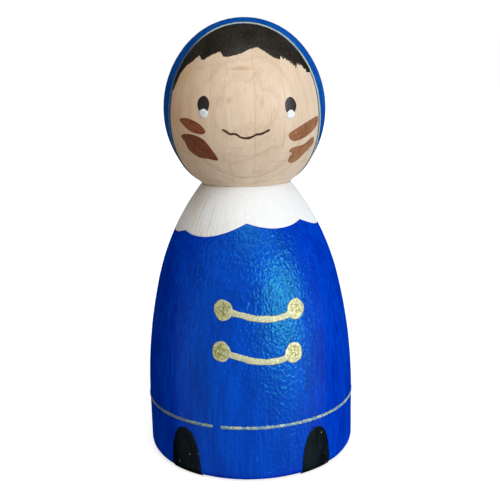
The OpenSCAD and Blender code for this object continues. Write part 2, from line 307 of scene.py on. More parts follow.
def grow(name, base, tree, finish, **values):
    """Runs a tree on a base mesh and keeps the result as a plain mesh, in a new object."""
    grower = bpy.data.objects.new(name + "_base", base)
    scene.collection.objects.link(grower)
    modifier = grower.modifiers.new("grow", "NODES")
    modifier.node_group = tree
    sockets = {item.name: item.identifier for item in tree.interface.items_tree if item.in_out == "INPUT"}
    modifier[sockets["Finish"]] = finish
    for label, value in values.items():
        modifier[sockets[label.replace("_", " ").capitalize()]] = value
    graph = bpy.context.evaluated_depsgraph_get()
    mesh = bpy.data.meshes.new_from_object(grower.evaluated_get(graph), preserve_all_data_layers=True,
        depsgraph=graph)
    mesh.name = name
    grower.modifiers.remove(modifier)
    bpy.data.objects.remove(grower)
    piece = bpy.data.objects.new(name, mesh)
    scene.collection.objects.link(piece)
    return piece


def noise(where, detail=2.0, rough=0.5, scale=1.0, seed=None):
    """Noise from 0 to 1, with a seed of its own where one is given."""
    inputs = {"Vector": where, "Scale": scale, "Detail": detail, "Roughness": rough}
    if seed is None:
        return place(where.tree, "ShaderNodeTexNoise", inputs)
    return place(where.tree, "ShaderNodeTexNoise", {**inputs, "W": seed}, noise_dimensions="4D")


def vector(x, y=0.0, z=0.0):
    """A vector from its parts, of which the first is a wire."""
    return place(x.tree, "ShaderNodeCombineXYZ", {"X": x, "Y": y, "Z": z})


def scaled(value, scale):
    """A vector times a number."""
    return place(value.tree, "ShaderNodeVectorMath", {0: value, "Scale": scale}, operation="SCALE")


def streaks(where, across, along, detail=3.0, rough=0.55, seed=None):
    """Noise drawn out along the doll's height, from 0 to 1."""
    fine = place(where.tree, "ShaderNodeCombineXYZ", {"X": 1 / across, "Y": 1 / across, "Z": 1 / along})
    return noise(vector_maths("MULTIPLY", where, fine), detail, rough, seed=seed)


def moved(geometry, **where):
    """A geometry whose points are put at a Position or moved by an Offset."""
    return place(geometry.tree, "GeometryNodeSetPosition", {"Geometry": geometry, **where})


def merged(geometry, distance):
    """A geometry whose points that lie within a distance are made one."""
    return place(geometry.tree, "GeometryNodeMergeByDistance",
        {"Geometry": geometry, "Distance": distance})


# The lathe: turns the section round the axis, and lets the grain show as fine hollows in the wood
tree, start = new_tree("lathe", [("Columns", "Int", 300), ("Rows", "Int", 230),
    ("Grain depth", "Float", 0.01 * mm), ("Grain width", "Float", 0.4 * mm),
    ("Grain length", "Float", 4 * mm)])
grid = place(tree, "GeometryNodeMeshGrid",
    {"Vertices X": start["Columns"], "Vertices Y": start["Rows"], "Size X": 1.0, "Size Y": 1.0})
across, along, _ = split(place(tree, "GeometryNodeInputPosition"))
section = place(tree, "GeometryNodeMeshToCurve", {"Mesh": start})
sample = place(tree, "GeometryNodeSampleCurve", {"Curves": section, "Factor": along + 0.5})
radius, _, level = split(sample["Position"])
turn = across * (2 * pi)
turned = vector(radius * maths("SINE", turn), radius * (maths("COSINE", turn) * -1.0), level)
grain = streaks(place(tree, "GeometryNodeInputPosition"), start["Grain width"], start["Grain length"],
    detail=2.0, rough=0.5)
hollow = ramp(grain, 0.5, 0.75) * (start["Grain depth"] * -1.0)
lathe_tree = end_tree(start, moved(merged(moved(grid, Position=turned), 1e-6),
    Offset=scaled(place(tree, "GeometryNodeInputNormal"), hollow)))


def new_group(name, inputs, outputs):
    """A shader node group with named inputs and outputs. Returns it with its inputs and outputs."""
    tree = bpy.data.node_groups.new(name, "ShaderNodeTree")
    add_sockets(tree, inputs, outputs)
    return tree, place(tree, "NodeGroupInput"), place(tree, "NodeGroupOutput").node.inputs


def blend_colour(share, below, above):
    """Mixes two colours. Sockets 0, 6 and 7 are the share and the colours, and output 2 is the mix."""
    return place(share.tree, "ShaderNodeMix", {0: share, 6: below, 7: above}, data_type="RGBA")[2]


def in_millimetres(tree):
    """Place on the doll in millimetres, from Object coordinates."""
    return scaled(place(tree, "ShaderNodeTexCoord")["Object"], 1 / mm)


# Beech: growth rings about a pith far behind the doll, so that they show as ovals round the face,
# short dark flecks, fine fibres, and a few long straight lines that run from the brow to the neck.
ring_pitch = 1.75
ring_wander = 4.2
pith_y = 75
line_turns = [-23.3, -12.5, 6.6, 27.7]
line_width = 0.16
band_steps = [0.1, -0.09, 0.11, -0.1]
band_blur = 0.004
beech_grain, first, last = new_group("beech_grain",
    [("Pale", "Color", (0.755, 0.622, 0.48, 1)), ("Dark", "Color", (0.52, 0.36, 0.23, 1)),
        ("Ring strength", "Float", 0.3), ("Fleck strength", "Float", 0.5)],
    [("Color", "Color"), ("Height", "Float"), ("Roughness", "Float")])
where = in_millimetres(beech_grain)
x, y, z = split(where)
from_pith = vector_maths("LENGTH", vector(x, y - pith_y))["Value"]
wander = streaks(where, across=6.0, along=13.0, detail=2.0) * ring_wander
ring = maths("FRACT", (from_pith + wander) / ring_pitch)
late_wood = ramp(ring, 0.55, 0.94) * ramp(ring, 1.0, 0.95)
flecks = ramp(streaks(where, across=0.3, along=3.0, detail=2.0), 0.57, 0.7)
fibres = streaks(where, across=0.09, along=2.6, rough=0.7)
broad = streaks(where, across=3.5, along=16.0)
bearing = maths("ARCTAN2", x, y * -1.0)
# Each long line is also the edge between a paler and a darker band
lines = bands = 0.0
for line_turn, band_step in zip(map(radians, line_turns), band_steps):
    off = maths("ABSOLUTE", bearing - line_turn) * head_r
    lines = lines + ramp(off, line_width, 0.0)
    bands = bands + band_step * ramp(bearing, line_turn - band_blur, line_turn + band_blur)
lines = lines * ramp(streaks(where, across=1.2, along=9.0), 0.38, 0.6)
# Hairs follow the contours of slow noise, and the lathe's marks are level and lie under the chin
contour = maths("PINGPONG", streaks(where, across=3.6, along=24.0, detail=0.5, rough=0.3), 0.045)
hairs = ramp(contour, 0.005, 0.0) * ramp(streaks(where, across=2.2, along=6.0), 0.44, 0.6)
turning = ramp(streaks(where, across=14.0, along=0.2, detail=2.0), 0.56, 0.66) * ramp(z, 66.0, 63.0)
# The flecks are drawn stronger towards the left side and fainter towards the right
fleck_tone = flecks * ramp(x, 8.0, -8.0, 0.6, 1.3)
tone = (late_wood * first["Ring strength"] + fleck_tone * first["Fleck strength"] + lines * 0.42 + bands
    + hairs * 0.4 + turning * 0.26 + ramp(fibres, 0.35, 0.7, -0.04, 0.14)
    + ramp(broad, 0.3, 0.7, -0.06, 0.16))
feed(last, {"Color": blend_colour(tone, first["Pale"], first["Dark"]),
    "Height": 1 - (flecks * 0.5 + (fibres * 0.35 + lines * 0.5)),
    "Roughness": ramp(flecks, 0.0, 1.0, 0.42, 0.55)})


def new_finish(name, group, values):
    """A material with a group in it. Returns it, the group's outputs and the shader's inputs."""
    material = bpy.data.materials.new(name)
    material.use_nodes = True
    tree = material.node_tree
    used = place(tree, "ShaderNodeGroup", values, node_tree=group)
    return material, used, tree.nodes["Principled BSDF"].inputs


def bump(height, depth):
    """How the surface faces where a height from 0 to 1 raises it by a depth in millimetres."""
    inputs = {"Height": height, "Distance": depth * mm, "Strength": 1.0}
    return place(height.tree, "ShaderNodeBump", inputs)


def in_oval(middle_x, middle_z, width, tall):
    """How high over an oval's middle a place is, and how far out, both 1 at the oval's edge."""
    across, upward = (x - middle_x) / width, (z - middle_z) / tall
    return upward, maths("SQRT", across * across + upward * upward)


beech, grain, shader = new_finish("beech", beech_grain, {"Ring strength": 0.2, "Fleck strength": 0.35})
where = in_millimetres(grain.tree)
x, y, z = split(where)
in_front = maths("LESS_THAN", y, 0.0)
colour = grain["Color"]
# Rings that come out of the chin as arcs: middle across and up, reach across and down, and strength
arc_colour = (0.30, 0.19, 0.12, 1)
arcs = [(0.3, 70.4, 11, 11.3, 0.34), (-1.5, 73, 9, 7.9, 0.14), (-1, 73, 11, 9.6, 0.14)]
for middle_x, middle_z, width, drop, strength in arcs:
    upward, away = in_oval(middle_x, middle_z, width, drop)
    off = maths("ABSOLUTE", away - 1.0) * drop
    share = ramp(off, 0.16, 0.03, 0.0, strength) * in_front * ramp(upward, -0.6, -0.85)
    colour = blend_colour(share, colour, arc_colour)
# Stains in this piece of wood: place across and up, size across and up, and strength
stain_colour = (0.50, 0.25, 0.08, 1)
stains = [(-0.5, 79.6, 2.6, 0.5, 0.5), (-2.9, 73.9, 0.8, 0.8, 0.35), (3.3, 73.4, 0.5, 1.1, 0.35)]
for middle_x, middle_z, width, tall, strength in stains:
    _, away = in_oval(middle_x, middle_z, width, tall)
    colour = blend_colour(ramp(away, 1.2, 0.2, 0.0, strength) * in_front, colour, stain_colour)
# Painted shade: its left side is darker and warmer, in upright patches
left_shade_wood = (0.66, 0.40, 0.20, 1)
left_shade = ramp(x, -5.0, -14.0) * ramp(streaks(where, across=1.8, along=7.0), 0.3, 0.65, 0.3, 0.7)
feed(shader, {"Base Color": blend_colour(left_shade, colour, left_shade_wood), "Roughness": grain["Roughness"],
    "Specular IOR Level": 0.25, "Normal": bump(grain["Height"], 0.03)})

section_mesh = new_mesh("section", [(p.x, 0, p.y) for p in blank_section()])
blank = grow("turned_blank", section_mesh, lathe_tree, beech)
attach(blank, "root")
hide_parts("wood_blank")

# Coat: blue paint over the body, from just above the bottom edge to the collar's scallops. It is
# brushed on down the grain and varnished, so the strokes and the grain stand up in it as ridges.
coat_t = 0.15
brushed_t = 0.12
# How deep a later layer sinks into the one under it
bite = 0.01
paint_lift = 0.2
collar_h = 7.35
lobe_r = 16
cusp_turn_shares = [-0.159, -0.002, 0.139, 0.281, 0.423, 0.567, 0.709]
cusp_depth_shares = [1.19, 0.91, 0.93, 1.1, 1, 0.97, 1.1]


def scallop_z(turn):
    """Height of the scalloped edge at a turn in radians: each lobe is a disc seen from in front of it."""
    full = 2 * pi
    lobes = len(cusp_turn_shares)
    share = (turn / full - cusp_turn_shares[0]) % 1 + cusp_turn_shares[0]
    i = max(k for k in range(lobes) if cusp_turn_shares[k] <= share + 1e-9)
    after = (i + 1) % lobes
    turn_0 = full * cusp_turn_shares[i]
    turn_1 = full * (cusp_turn_shares[after] + (1 if after == 0 else 0))
    half = (turn_1 - turn_0) / 2
    z_0 = body_h - collar_h * cusp_depth_shares[i]
    z_1 = body_h - collar_h * cusp_depth_shares[after]
    point_0 = Vector((-wood_at(body_arcs, z_0) * sin(half), z_0))
    point_1 = Vector((wood_at(body_arcs, z_1) * sin(half), z_1))
    side = (point_1 - point_0) / 2
    up = Vector((-side.y, side.x)).normalized()
    centre = point_0 + side + up * sqrt(lobe_r ** 2 - side.length_squared)
    z = (z_0 + z_1) / 2
    for _ in range(12):
        x = wood_at(body_arcs, z) * sin(full * share - (turn_0 + turn_1) / 2)
        z = centre.y - sqrt(max(lobe_r ** 2 - (x - centre.x) ** 2, 0))
    return z


def wrap(name, low_z, high_z, columns, rows):
    """A sheet round the body between two heights, each a function of the turn."""
    points = []
    for row in range(rows + 1):
        for column in range(columns):
            turn = 2 * pi * (column / columns + cusp_turn_shares[0])
            low, high = low_z(turn), high_z(turn)
            z = low + (high - low) * row / rows
            points.append(round_axis(wood_at(body_arcs, z), turn, z))
    faces = []
    for row in range(rows):
        for column in range(columns):
            a, b = row * columns + column, row * columns + (column + 1) % columns
            faces.append((a, b, b + columns, a + columns))
    return new_mesh(name, points, faces)


def rounded(inside, reach):
    """How far a film has risen, from 0 to 1, at a distance inside an edge that is round over a reach."""
    short = 1 - maths("MINIMUM", 1.0, inside / reach)
    return maths("SQRT", 1 - short * short)


def end_film(start, top, under):
    """Closes a film underneath, and ends its tree. Returns the tree."""
    both = place(start.tree, "GeometryNodeJoinGeometry", {0: top})
    feed(both.node.inputs, {0: place(start.tree, "GeometryNodeFlipFaces", {"Mesh": under})})
    return end_tree(start, merged(both, 1e-7))


# Laying paint: lifts a sheet off the wood by the paint's thickness, rounds it down to nothing at
# the sheet's edge, and lets brush strokes stand up in it. The sheet itself closes it underneath.
tree, start = new_tree("lay_paint", [("Thickness", "Float", 0.12 * mm), ("Rim", "Float", 0.1 * mm),
    ("Ridge depth", "Float", 0.03 * mm), ("Stroke across", "Float", 0.5 * mm),
    ("Stroke along", "Float", 5 * mm), ("Stroke axis", "Vector", (0, -1, 0)),
    ("Stroke lean", "Float", 0.0), ("Seed", "Float", 0.0)])
faces_beside = place(tree, "GeometryNodeInputMeshEdgeNeighbors")
free = place(tree, "FunctionNodeCompare", {2: faces_beside, 3: 1}, data_type="INT", operation="EQUAL")
outline = place(tree, "GeometryNodeSeparateGeometry", {"Geometry": start, "Selection": free},
    domain="EDGE")
inside = place(tree, "GeometryNodeProximity", {0: outline}, target_element="EDGES")["Distance"]
leaned = place(tree, "ShaderNodeVectorRotate", {"Axis": start["Stroke axis"],
    "Vector": place(tree, "GeometryNodeInputPosition"), "Angle": start["Stroke lean"]})
ridges = streaks(leaned, start["Stroke across"], start["Stroke along"], detail=1.0, rough=0.5,
    seed=start["Seed"])
sunk = start["Ridge depth"] * ramp(ridges, 0.3, 0.7)
lift = rounded(inside, start["Rim"]) * (start["Thickness"] - sunk)
top = moved(start, Offset=scaled(place(tree, "GeometryNodeInputNormal"), lift))
marked = place(tree, "GeometryNodeStoreNamedAttribute",
    {"Geometry": top, "Name": "inside", 3: inside * (1 / mm)}, data_type="FLOAT", domain="POINT")
paint_tree = end_film(start, marked, start)

# Brush marks: strokes down the doll that lighten and darken the paint, ridges where they and the
# grain show through it, and a few light specks: dust caught in the varnish, and on the coat also painted
# glints.
brush_marks, first, last = new_group("brush_marks",
    [("Across", "Float", 0.5), ("Along", "Float", 9.0), ("Speck share", "Float", 0.05),
        ("Lean", "Float", 0.0)],
    [("Tone", "Float"), ("Height", "Float"), ("Specks", "Float")])
where = place(brush_marks, "ShaderNodeVectorRotate",
    {"Vector": in_millimetres(brush_marks), "Axis": (0, -1, 0), "Angle": first["Lean"]})
strokes = streaks(where, first["Across"], first["Along"], detail=4.0, rough=0.6)
patches = streaks(where, across=5.0, along=14.0, detail=2.0)
pores = streaks(where, across=0.22, along=1.3, detail=2.0)
lumps = ramp(streaks(where, across=0.55, along=0.75, detail=1.0, rough=0.4), 0.34, 0.66)
dots = place(brush_marks, "ShaderNodeTexVoronoi", {"Vector": where, "Scale": 0.62, "Randomness": 1.0})
chosen = maths("LESS_THAN", split(dots["Color"], "ShaderNodeSeparateColor")[0], first["Speck share"])
feed(last, {"Tone": ramp(strokes * 0.6 + patches * 0.4, 0.36, 0.64),
    "Height": strokes * 0.35 + lumps * 0.45 + pores * 0.2,
    "Specks": ramp(dots["Distance"] + pores * 0.12, 0.17, 0.1) * chosen})


def new_paint(name, dark, light, speck, across=0.5, along=9.0, speck_share=0.04, relief=0.05, rough=0.3,
        gloss=0.3, sheen=(1, 1, 1)):
    """A paint whose colour runs from dark to light with its strokes, with specks and a gloss that
    is least where it is seen from the side."""
    material, marks, shader = new_finish(name, brush_marks,
        {"Across": across, "Along": along, "Speck share": speck_share})
    colour = blend_colour(marks["Tone"], (*dark, 1), (*light, 1))
    slant = place(marks.tree, "ShaderNodeLayerWeight", {"Blend": 0.5})["Facing"]
    shader["Specular IOR Level"].default_value = gloss
    feed(shader, {"Base Color": blend_colour(marks["Specks"] * 0.6, colour, (*speck, 1)),
        "Roughness": ramp(marks["Tone"], 0.0, 1.0, rough + 0.06, rough),
        "Specular IOR Level": ramp(slant, 0.1, 0.42, gloss, 0.0), "Specular Tint": (*sheen, 1),
        "Normal": bump(marks["Height"], relief)})
    return material


def brush_on(name, sheet, paint, thickness, rim, ridge, across, along, seed, lean=0.0):
    """Paint on a sheet, with a round rim and ridges along its strokes. Sizes are in millimetres."""
    return grow(name, sheet, paint_tree, paint, thickness=thickness * mm, rim=rim * mm,
        ridge_depth=ridge * mm, stroke_across=across * mm, stroke_along=along * mm, stroke_lean=lean,
        seed=float(seed))


# The coat's light blue specks are painted glints on the varnish as well as dust
blue_sheen = (0.1, 1, 0.65)
coat_blue = new_paint("coat_blue", (0.0, 0.024, 0.39), (0.0, 0.055, 0.59), (0.03, 0.28, 0.72),
    speck_share=0.25, relief=0.12, rough=0.23, gloss=0.6, sheen=blue_sheen)
tuck = 0.3
coat_sheet = wrap("coat_sheet", lambda turn: paint_lift, lambda turn: scallop_z(turn) + tuck,
    columns=400, rows=108)
coat = brush_on("coat", coat_sheet, coat_blue, brushed_t, rim=0.12, ridge=0.035, across=0.7, along=5,
    seed=1)
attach(coat, "root")
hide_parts("coat_paint")

# Collar: white paint from the neck groove down to seven scallops, laid over the coat's upper edge.
# The grain shows through it as fine upright lines, which are painted browner towards the left side as
# painted shade.
collar_white = new_paint("collar_white", (0.79, 0.825, 0.85), (0.84, 0.89, 0.93), (0.6, 0.56, 0.5),
    across=0.3, along=5.0, speck_share=0.01, relief=0.05, rough=0.45, gloss=0.25)


def glaze(material, share, colour):
    """Mixes a colour over the one that a material has from blend_colour."""
    shader = material.node_tree.nodes["Principled BSDF"].inputs
    own = Wire(shader["Base Color"].links[0].from_node, 2)
    feed(shader, {"Base Color": blend_colour(share, own, colour)})


where = in_millimetres(collar_white.node_tree)
x, y, z = split(where)
unrolled = vector(maths("ARCTAN2", x, y * -1.0) * (foot_r / 2), 0.0, z)
# Upright grain lines, painted browner towards the left side as painted shade
grain_and_left_shade = (ramp(streaks(unrolled, across=0.35, along=7.0, detail=2.0), 0.45, 0.6)
    * ramp(x, -2.0, -9.0, 0.05, 0.4))
glaze(collar_white, grain_and_left_shade, (0.60, 0.49, 0.39, 1))
collar_sheet = wrap("collar_sheet", scallop_z, lambda turn: body_h, columns=400, rows=44)
collar = brush_on("collar", collar_sheet, collar_white, coat_t, rim=0.1, ridge=0.03, across=0.45, along=4,
    seed=2)
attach(collar, "root")
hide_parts("collar_paint")

# Hood: the same blue paint over the back, the sides and the crown of the head, mixed a little greener
# and greyer than the coat's as a painted sheen. Its edge is two arcs seen from the side, and it runs down
# into the neck groove at the back.
hood_edge_turn = 60.6
hood_front = head_r * cos(radians(hood_edge_turn))
hood_front_z = head_z + 3.2
hood_brow_r = 100
hood_cheek_r = 22


def hood_edge_y(z):
    """How far in front of the axis, as a negative place, the hood's edge lies at a height."""
    radius = hood_brow_r if z > hood_front_z else hood_cheek_r
    return radius - hood_front - sqrt(radius ** 2 - (z - hood_front_z) ** 2)


def hood_edge(tuck=0.0, lift=0.0, steps=240):
    """Points along the hood's edge from the groove on the left over the brow to the right."""
    low, high = body_h, doll_h
    for _ in range(40):
        z = (low + high) / 2
        if wood_at(head_arcs, z, lift) > abs(hood_edge_y(z) + tuck):
            low = z
        else:
            high = z
    top_z = low
    points = []
    for k in range(2 * steps + 1):
        share = sin(pi / 2 * (1 - abs(k / steps - 1)))
        z = body_h + (top_z - body_h) * share
        y = hood_edge_y(z) + tuck
        x = sqrt(max(wood_at(head_arcs, z, lift) ** 2 - y * y, 0))
        points.append(Vector((x if k > steps else -x, y, z)))
    return points


def even(points, step):
    """The same line with points a step apart, and its corners kept where it turns sharply."""
    far = [0.0]
    for a, b in zip(points, points[1:]):
        far.append(far[-1] + (b - a).length)
    count = max(3, round(far[-1] / step))
    result, i = [], 0
    for k in range(count + 1):
        goal = far[-1] * k / count
        while i < len(far) - 2 and far[i + 1] < goal:
            i += 1
        share = (goal - far[i]) / max(far[i + 1] - far[i], 1e-9)
        result.append(points[i].lerp(points[i + 1], min(share, 1)))
    return result


def head_along(direction):
    """Where a line from the middle of the head comes out of it."""
    level = hypot(direction.x, direction.y)
    ray = Vector((level, direction.z)).normalized()
    for (centre_r, centre_z), radius, start, end in head_arcs:
        centre = Vector((centre_r, centre_z - head_z))
        on = ray.dot(centre)
        reach = on + sqrt(on * on - centre.length_squared + radius ** 2)
        hit = ray * reach
        if atan2(hit.y - centre.y, hit.x - centre.x) <= end + 1e-6:
            break
    return Vector((0, 0, head_z)) + direction.normalized() * reach


def fill(outline, step, rim):
    """Even triangles inside a flat outline, with two close rows along it for the paint's rim."""
    loop = np.array([(p.x, p.y) for p in outline])
    after, before = np.roll(loop, -1, axis=0), np.roll(loop, 1, axis=0)
    if np.sum(loop[:, 0] * after[:, 1] - after[:, 0] * loop[:, 1]) < 0:
        loop, after, before = loop[::-1], before[::-1], after[::-1]
    run = after - before
    inward = np.stack([-run[:, 1], run[:, 0]], 1) / np.linalg.norm(run, axis=1)[:, None]
    low, high = loop.min(0), loop.max(0)
    xs = np.arange(low[0], high[0], step)
    ys = np.arange(low[1], high[1], step * sqrt(3) / 2)
    grid = np.array([(x + (step / 2 if i % 2 else 0), y) for i, y in enumerate(ys) for x in xs])
    # Where the two rows lie, and how near the outline their points may come, in shares of the rim
    rows = ((0.35, 0.3), (1, 0.9))
    tries = np.concatenate([loop + inward * rim * deep for deep, _ in rows] + [grid])
    least = np.concatenate([np.full(len(loop), rim * near) for _, near in rows]
        + [np.full(len(grid), rim + step * 0.45)])
    away = np.full(len(tries), 1e9)
    crossings = np.zeros(len(tries), int)
    for a, b in zip(loop, after):
        side = b - a
        share = np.clip(((tries - a) @ side) / max(side @ side, 1e-12), 0, 1)
        away = np.minimum(away, np.linalg.norm(tries - a - share[:, None] * side, axis=1))
        spans = (a[1] > tries[:, 1]) != (b[1] > tries[:, 1])
        if a[1] != b[1]:
            meets = a[0] + (tries[:, 1] - a[1]) / (b[1] - a[1]) * side[0]
            crossings += spans & (tries[:, 0] < meets)
    kept = tries[(crossings % 2 == 1) & (away > least)]
    count = len(loop)
    points = [Vector(p) for p in np.concatenate([loop, kept]).tolist()]
    rim_edges = [(k, (k + 1) % count) for k in range(count)]
    result = delaunay_2d_cdt(points, rim_edges, [list(range(count))], 1, 1e-6)
    return result[0], result[2]


def lay(name, outline, onto, step, rim):
    """A sheet inside a flat outline in millimetres, laid on the doll by onto(x, y)."""
    flat, faces = fill(outline, step, rim)
    points = [onto(p.x, p.y) for p in flat]
    a, b, c = (points[k] for k in faces[0][:3])
    centre = Vector((0, 0, head_z if a.z > body_h else a.z))
    if (b - a).cross(c - a).dot(a - centre) < 0:
        faces = [face[::-1] for face in faces]
    return new_mesh(name, points, faces)


def to_back_view(point):
    """Place on the head, unrolled about the middle of its back."""
    direction = (point - Vector((0, 0, head_z))).normalized()
    angle = acos(direction.y)
    return Vector((direction.x, direction.z)).normalized() * angle * head_r


def from_back_view(x, y):
    """The place on the head that lies at x, y when it is unrolled about the middle of its back."""
    far = hypot(x, y)
    angle = far / head_r
    share = sin(angle) / far if far > 1e-9 else 0
    return head_along(Vector((x * share, cos(angle), y * share)))


hood_blue = new_paint("hood_blue", (0.002, 0.055, 0.31), (0.008, 0.112, 0.50), (0.02, 0.24, 0.70),
    across=0.6, along=7.0, relief=0.04, rough=0.34, gloss=0.3, sheen=blue_sheen)
front = hood_edge()
meeting = atan2(front[-1].x, -front[-1].y)
groove = []
groove_steps = 120
for k in range(1, groove_steps):
    turn = meeting + (2 * pi - 2 * meeting) * k / groove_steps
    groove.append(Vector(round_axis(neck_r, turn, body_h)))
outline = even([to_back_view(p) for p in front], 0.4)
outline += [to_back_view(p) for p in groove]
hood_sheet = lay("hood_sheet", outline, from_back_view, step=0.42, rim=0.1)
hood = brush_on("hood", hood_sheet, hood_blue, coat_t - bite, rim=0.12, ridge=0.03, across=0.8, along=6,
    seed=3)
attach(hood, "root")
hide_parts("hood_paint")

# Hair: thick brown-black paint under the hood's edge, with the tufts that the brush left along the
# brow. The hood's edge and its gold line are painted over its upper end.
fringe_shares = [(-0.83, 0.235), (-0.79, 0.31), (-0.735, 0.41), (-0.655, 0.485), (-0.58, 0.53),
    (-0.50, 0.585), (-0.48, 0.535), (-0.45, 0.535), (-0.37, 0.575), (-0.26, 0.615), (-0.225, 0.56),
    (-0.16, 0.555), (-0.04, 0.58), (0.085, 0.63), (0.165, 0.645), (0.26, 0.59), (0.34, 0.54),
    (0.415, 0.515), (0.425, 0.55), (0.52, 0.505), (0.61, 0.44), (0.62, 0.48), (0.68, 0.455),
    (0.755, 0.38)]


def facing(turn, height, arcs, lift=0.0):
    """Maps a drawing held upright in front of the doll at a turn in degrees onto its surface."""
    spin = Matrix.Rotation(radians(turn), 3, "Z")

    def onto(x, y):
        radius = wood_at(arcs, height + y, lift)
        return spin @ Vector((x, -sqrt(max(radius ** 2 - x * x, 0)), height + y))
    return onto


hair_dark = new_paint("hair_dark", (0.014, 0.012, 0.009), (0.036, 0.032, 0.028), (0.2, 0.18, 0.15),
    across=0.35, along=3.0, speck_share=0.02, relief=0.03, rough=0.42, gloss=0.3)
fringe = [Vector((x * head_r, head_z + z * crown_rise)) for x, z in fringe_shares]
hair_tuck = 0.25
ragged_step = 0.14
raggedness, right_raggedness = 0.07, 0.3
right_tufts_x = head_r * 0.42
brow = [Vector((p.x, p.z)) for p in hood_edge(hair_tuck)]
left_end = min(range(len(brow) // 2), key=lambda k: (brow[k] - fringe[0]).length)
right_end = min(range(len(brow) // 2, len(brow)), key=lambda k: (brow[k] - fringe[-1]).length)
ragged = random.Random(4)
outline = []
for p in even(fringe, ragged_step):
    swing = right_raggedness if p.x > right_tufts_x else raggedness
    outline.append(p + Vector((0, ragged.uniform(-1, 1) * swing)))
outline += even(brow[left_end:right_end + 1], 0.25)[::-1]
hair_sheet = lay("hair_sheet", outline, facing(0, 0, head_arcs), step=0.22, rim=0.08)
hair = brush_on("hair", hair_sheet, hair_dark, brushed_t, rim=0.1, ridge=0.04, across=0.35, along=3,
    seed=4)
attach(hair, "root")
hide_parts("hair_paint")

# Pen lines: a tree that draws a line of ink along a path on the doll. The ink is highest in the
# middle of the line, its width and edges waver a little, and its ends are round.
tree, start = new_tree("pen_line", [("Width", "Float", 0.5 * mm), ("Height", "Float", 0.1 * mm),
    ("Waver", "Float", 0.05 * mm), ("Waver length", "Float", 0.4 * mm), ("Pressure", "Float", 0.1),
    ("Steps along", "Int", 200), ("Steps across", "Int", 7), ("Seed", "Float", 0.0)])
path = place(tree, "GeometryNodeMeshToCurve", {"Mesh": start})
length = place(tree, "GeometryNodeCurveLength", {"Curve": path})
grid = place(tree, "GeometryNodeMeshGrid", {"Vertices X": start["Steps along"],
    "Vertices Y": start["Steps across"], "Size X": 1.0, "Size Y": 2.0})
along, side, _ = split(place(tree, "GeometryNodeInputPosition"))
along = along + 0.5
outward = place(tree, "GeometryNodeInputNamedAttribute", {"Name": "outward"}, data_type="FLOAT_VECTOR")
drawn = place(tree, "GeometryNodeSampleCurve", {"Curves": path, "Factor": along, 1: outward},
    data_type="FLOAT_VECTOR")
sideways = vector_maths("NORMALIZE", vector_maths("CROSS_PRODUCT", drawn["Tangent"], drawn))
travelled = along * length
half = start["Width"] * 0.5
rounding = rounded(maths("MINIMUM", travelled, length - travelled), half)
# The edges waver each in its own way, and the hand presses more and less over longer stretches
edge_apart = 7.0
press_length = start["Waver length"] * 6.0
waver_place = vector(travelled / start["Waver length"], maths("SIGN", side) * edge_apart)
waver = noise(waver_place, seed=start["Seed"])
press = noise(vector(travelled / press_length), seed=start["Seed"])
pressed = 1 + start["Pressure"] * ramp(press, 0.3, 0.7, -1.0, 1.0)
reach = (half * pressed + start["Waver"] * ramp(waver, 0.3, 0.7, -1.0, 1.0)) * rounding * side
flat_place = vector_maths("ADD", drawn["Position"], scaled(sideways, reach))
bead_size = 0.2 * mm
beads = ramp(noise(scaled(drawn["Position"], 1 / bead_size)), 0.3, 0.7, 0.7, 1.0)
dome = maths("SQRT", 1 - side * side)
ink = (start["Height"] * dome) * (rounding * beads)
top_place = vector_maths("ADD", flat_place, scaled(drawn, ink))
pen_tree = end_film(start, moved(grid, Position=top_place), moved(grid, Position=flat_place))


def wood_normal(arcs, point):
    """The direction in which the turned surface faces at a point on it."""
    across = hypot(point.x, point.y)
    step = 0.01
    rise_over = (wood_at(arcs, point.z - step) - wood_at(arcs, point.z + step)) / (2 * step)
    return Vector((point.x / across, point.y / across, rise_over)).normalized()


def draw(name, points, arcs, ink, width, height, waver, waver_length, pressure, seed, steps_across=7):
    """Ink along points on the body or the head. Sizes are in millimetres."""
    mesh = new_mesh(name + "_path", points)
    outward = mesh.attributes.new("outward", "FLOAT_VECTOR", "POINT")
    for item, point in zip(outward.data, points):
        item.vector = wood_normal(arcs, point)
    far = sum((b - a).length for a, b in zip(points, points[1:]))
    step = 0.11
    return grow(name, mesh, pen_tree, ink, width=width * mm, height=height * mm, waver=waver * mm,
        waver_length=waver_length * mm, pressure=pressure, steps_along=round(far / step),
        steps_across=steps_across, seed=float(seed))


# Gold: a paint pen with coarse grains, pale where they catch the light and olive between them. Where
# the ink is thin, some of the ground under it shows between the grains.
gold_grains, first, last = new_group("gold_grains",
    [("Grain size", "Float", 0.22), ("Thinness", "Float", 0.0), ("Ground", "Color", (0.0, 0.12, 0.5, 1))],
    [("Color", "Color"), ("Height", "Float"), ("Roughness", "Float"), ("Metallic", "Float")])
finer = scaled(in_millimetres(gold_grains), 1 / first["Grain size"])
grains = place(gold_grains, "ShaderNodeTexVoronoi", {"Vector": finer, "Scale": 1.0})
deep_luck, pale_luck, thin_luck = split(grains["Color"], "ShaderNodeSeparateColor")
clouds = noise(finer, scale=0.45)
gold = blend_colour(ramp(deep_luck, 0.25, 0.9), (0.33, 0.33, 0.11, 1), (0.60, 0.61, 0.29, 1))
gold = blend_colour(ramp(pale_luck, 0.72, 0.9), gold, (0.74, 0.77, 0.50, 1))
olive = ramp(clouds, 0.5, 0.68, 0.0, 0.75) * ramp(thin_luck, 0.3, 0.8)
gold = blend_colour(olive, gold, (0.13, 0.13, 0.06, 1))
bare = ramp(clouds, 0.35, 0.65, 0.5, 1.5) * ramp(thin_luck, 0.2, 0.8, 0.4, 1.6)
seen_through = maths("MINIMUM", 1.0, first["Thinness"] * bare)
feed(last, {"Color": blend_colour(seen_through, gold, first["Ground"]), "Height": 1 - grains["Distance"],
    "Roughness": ramp(deep_luck, 0.0, 1.0, 0.5, 0.3), "Metallic": ramp(pale_luck, 0.4, 1.0, 0.05, 0.3)})


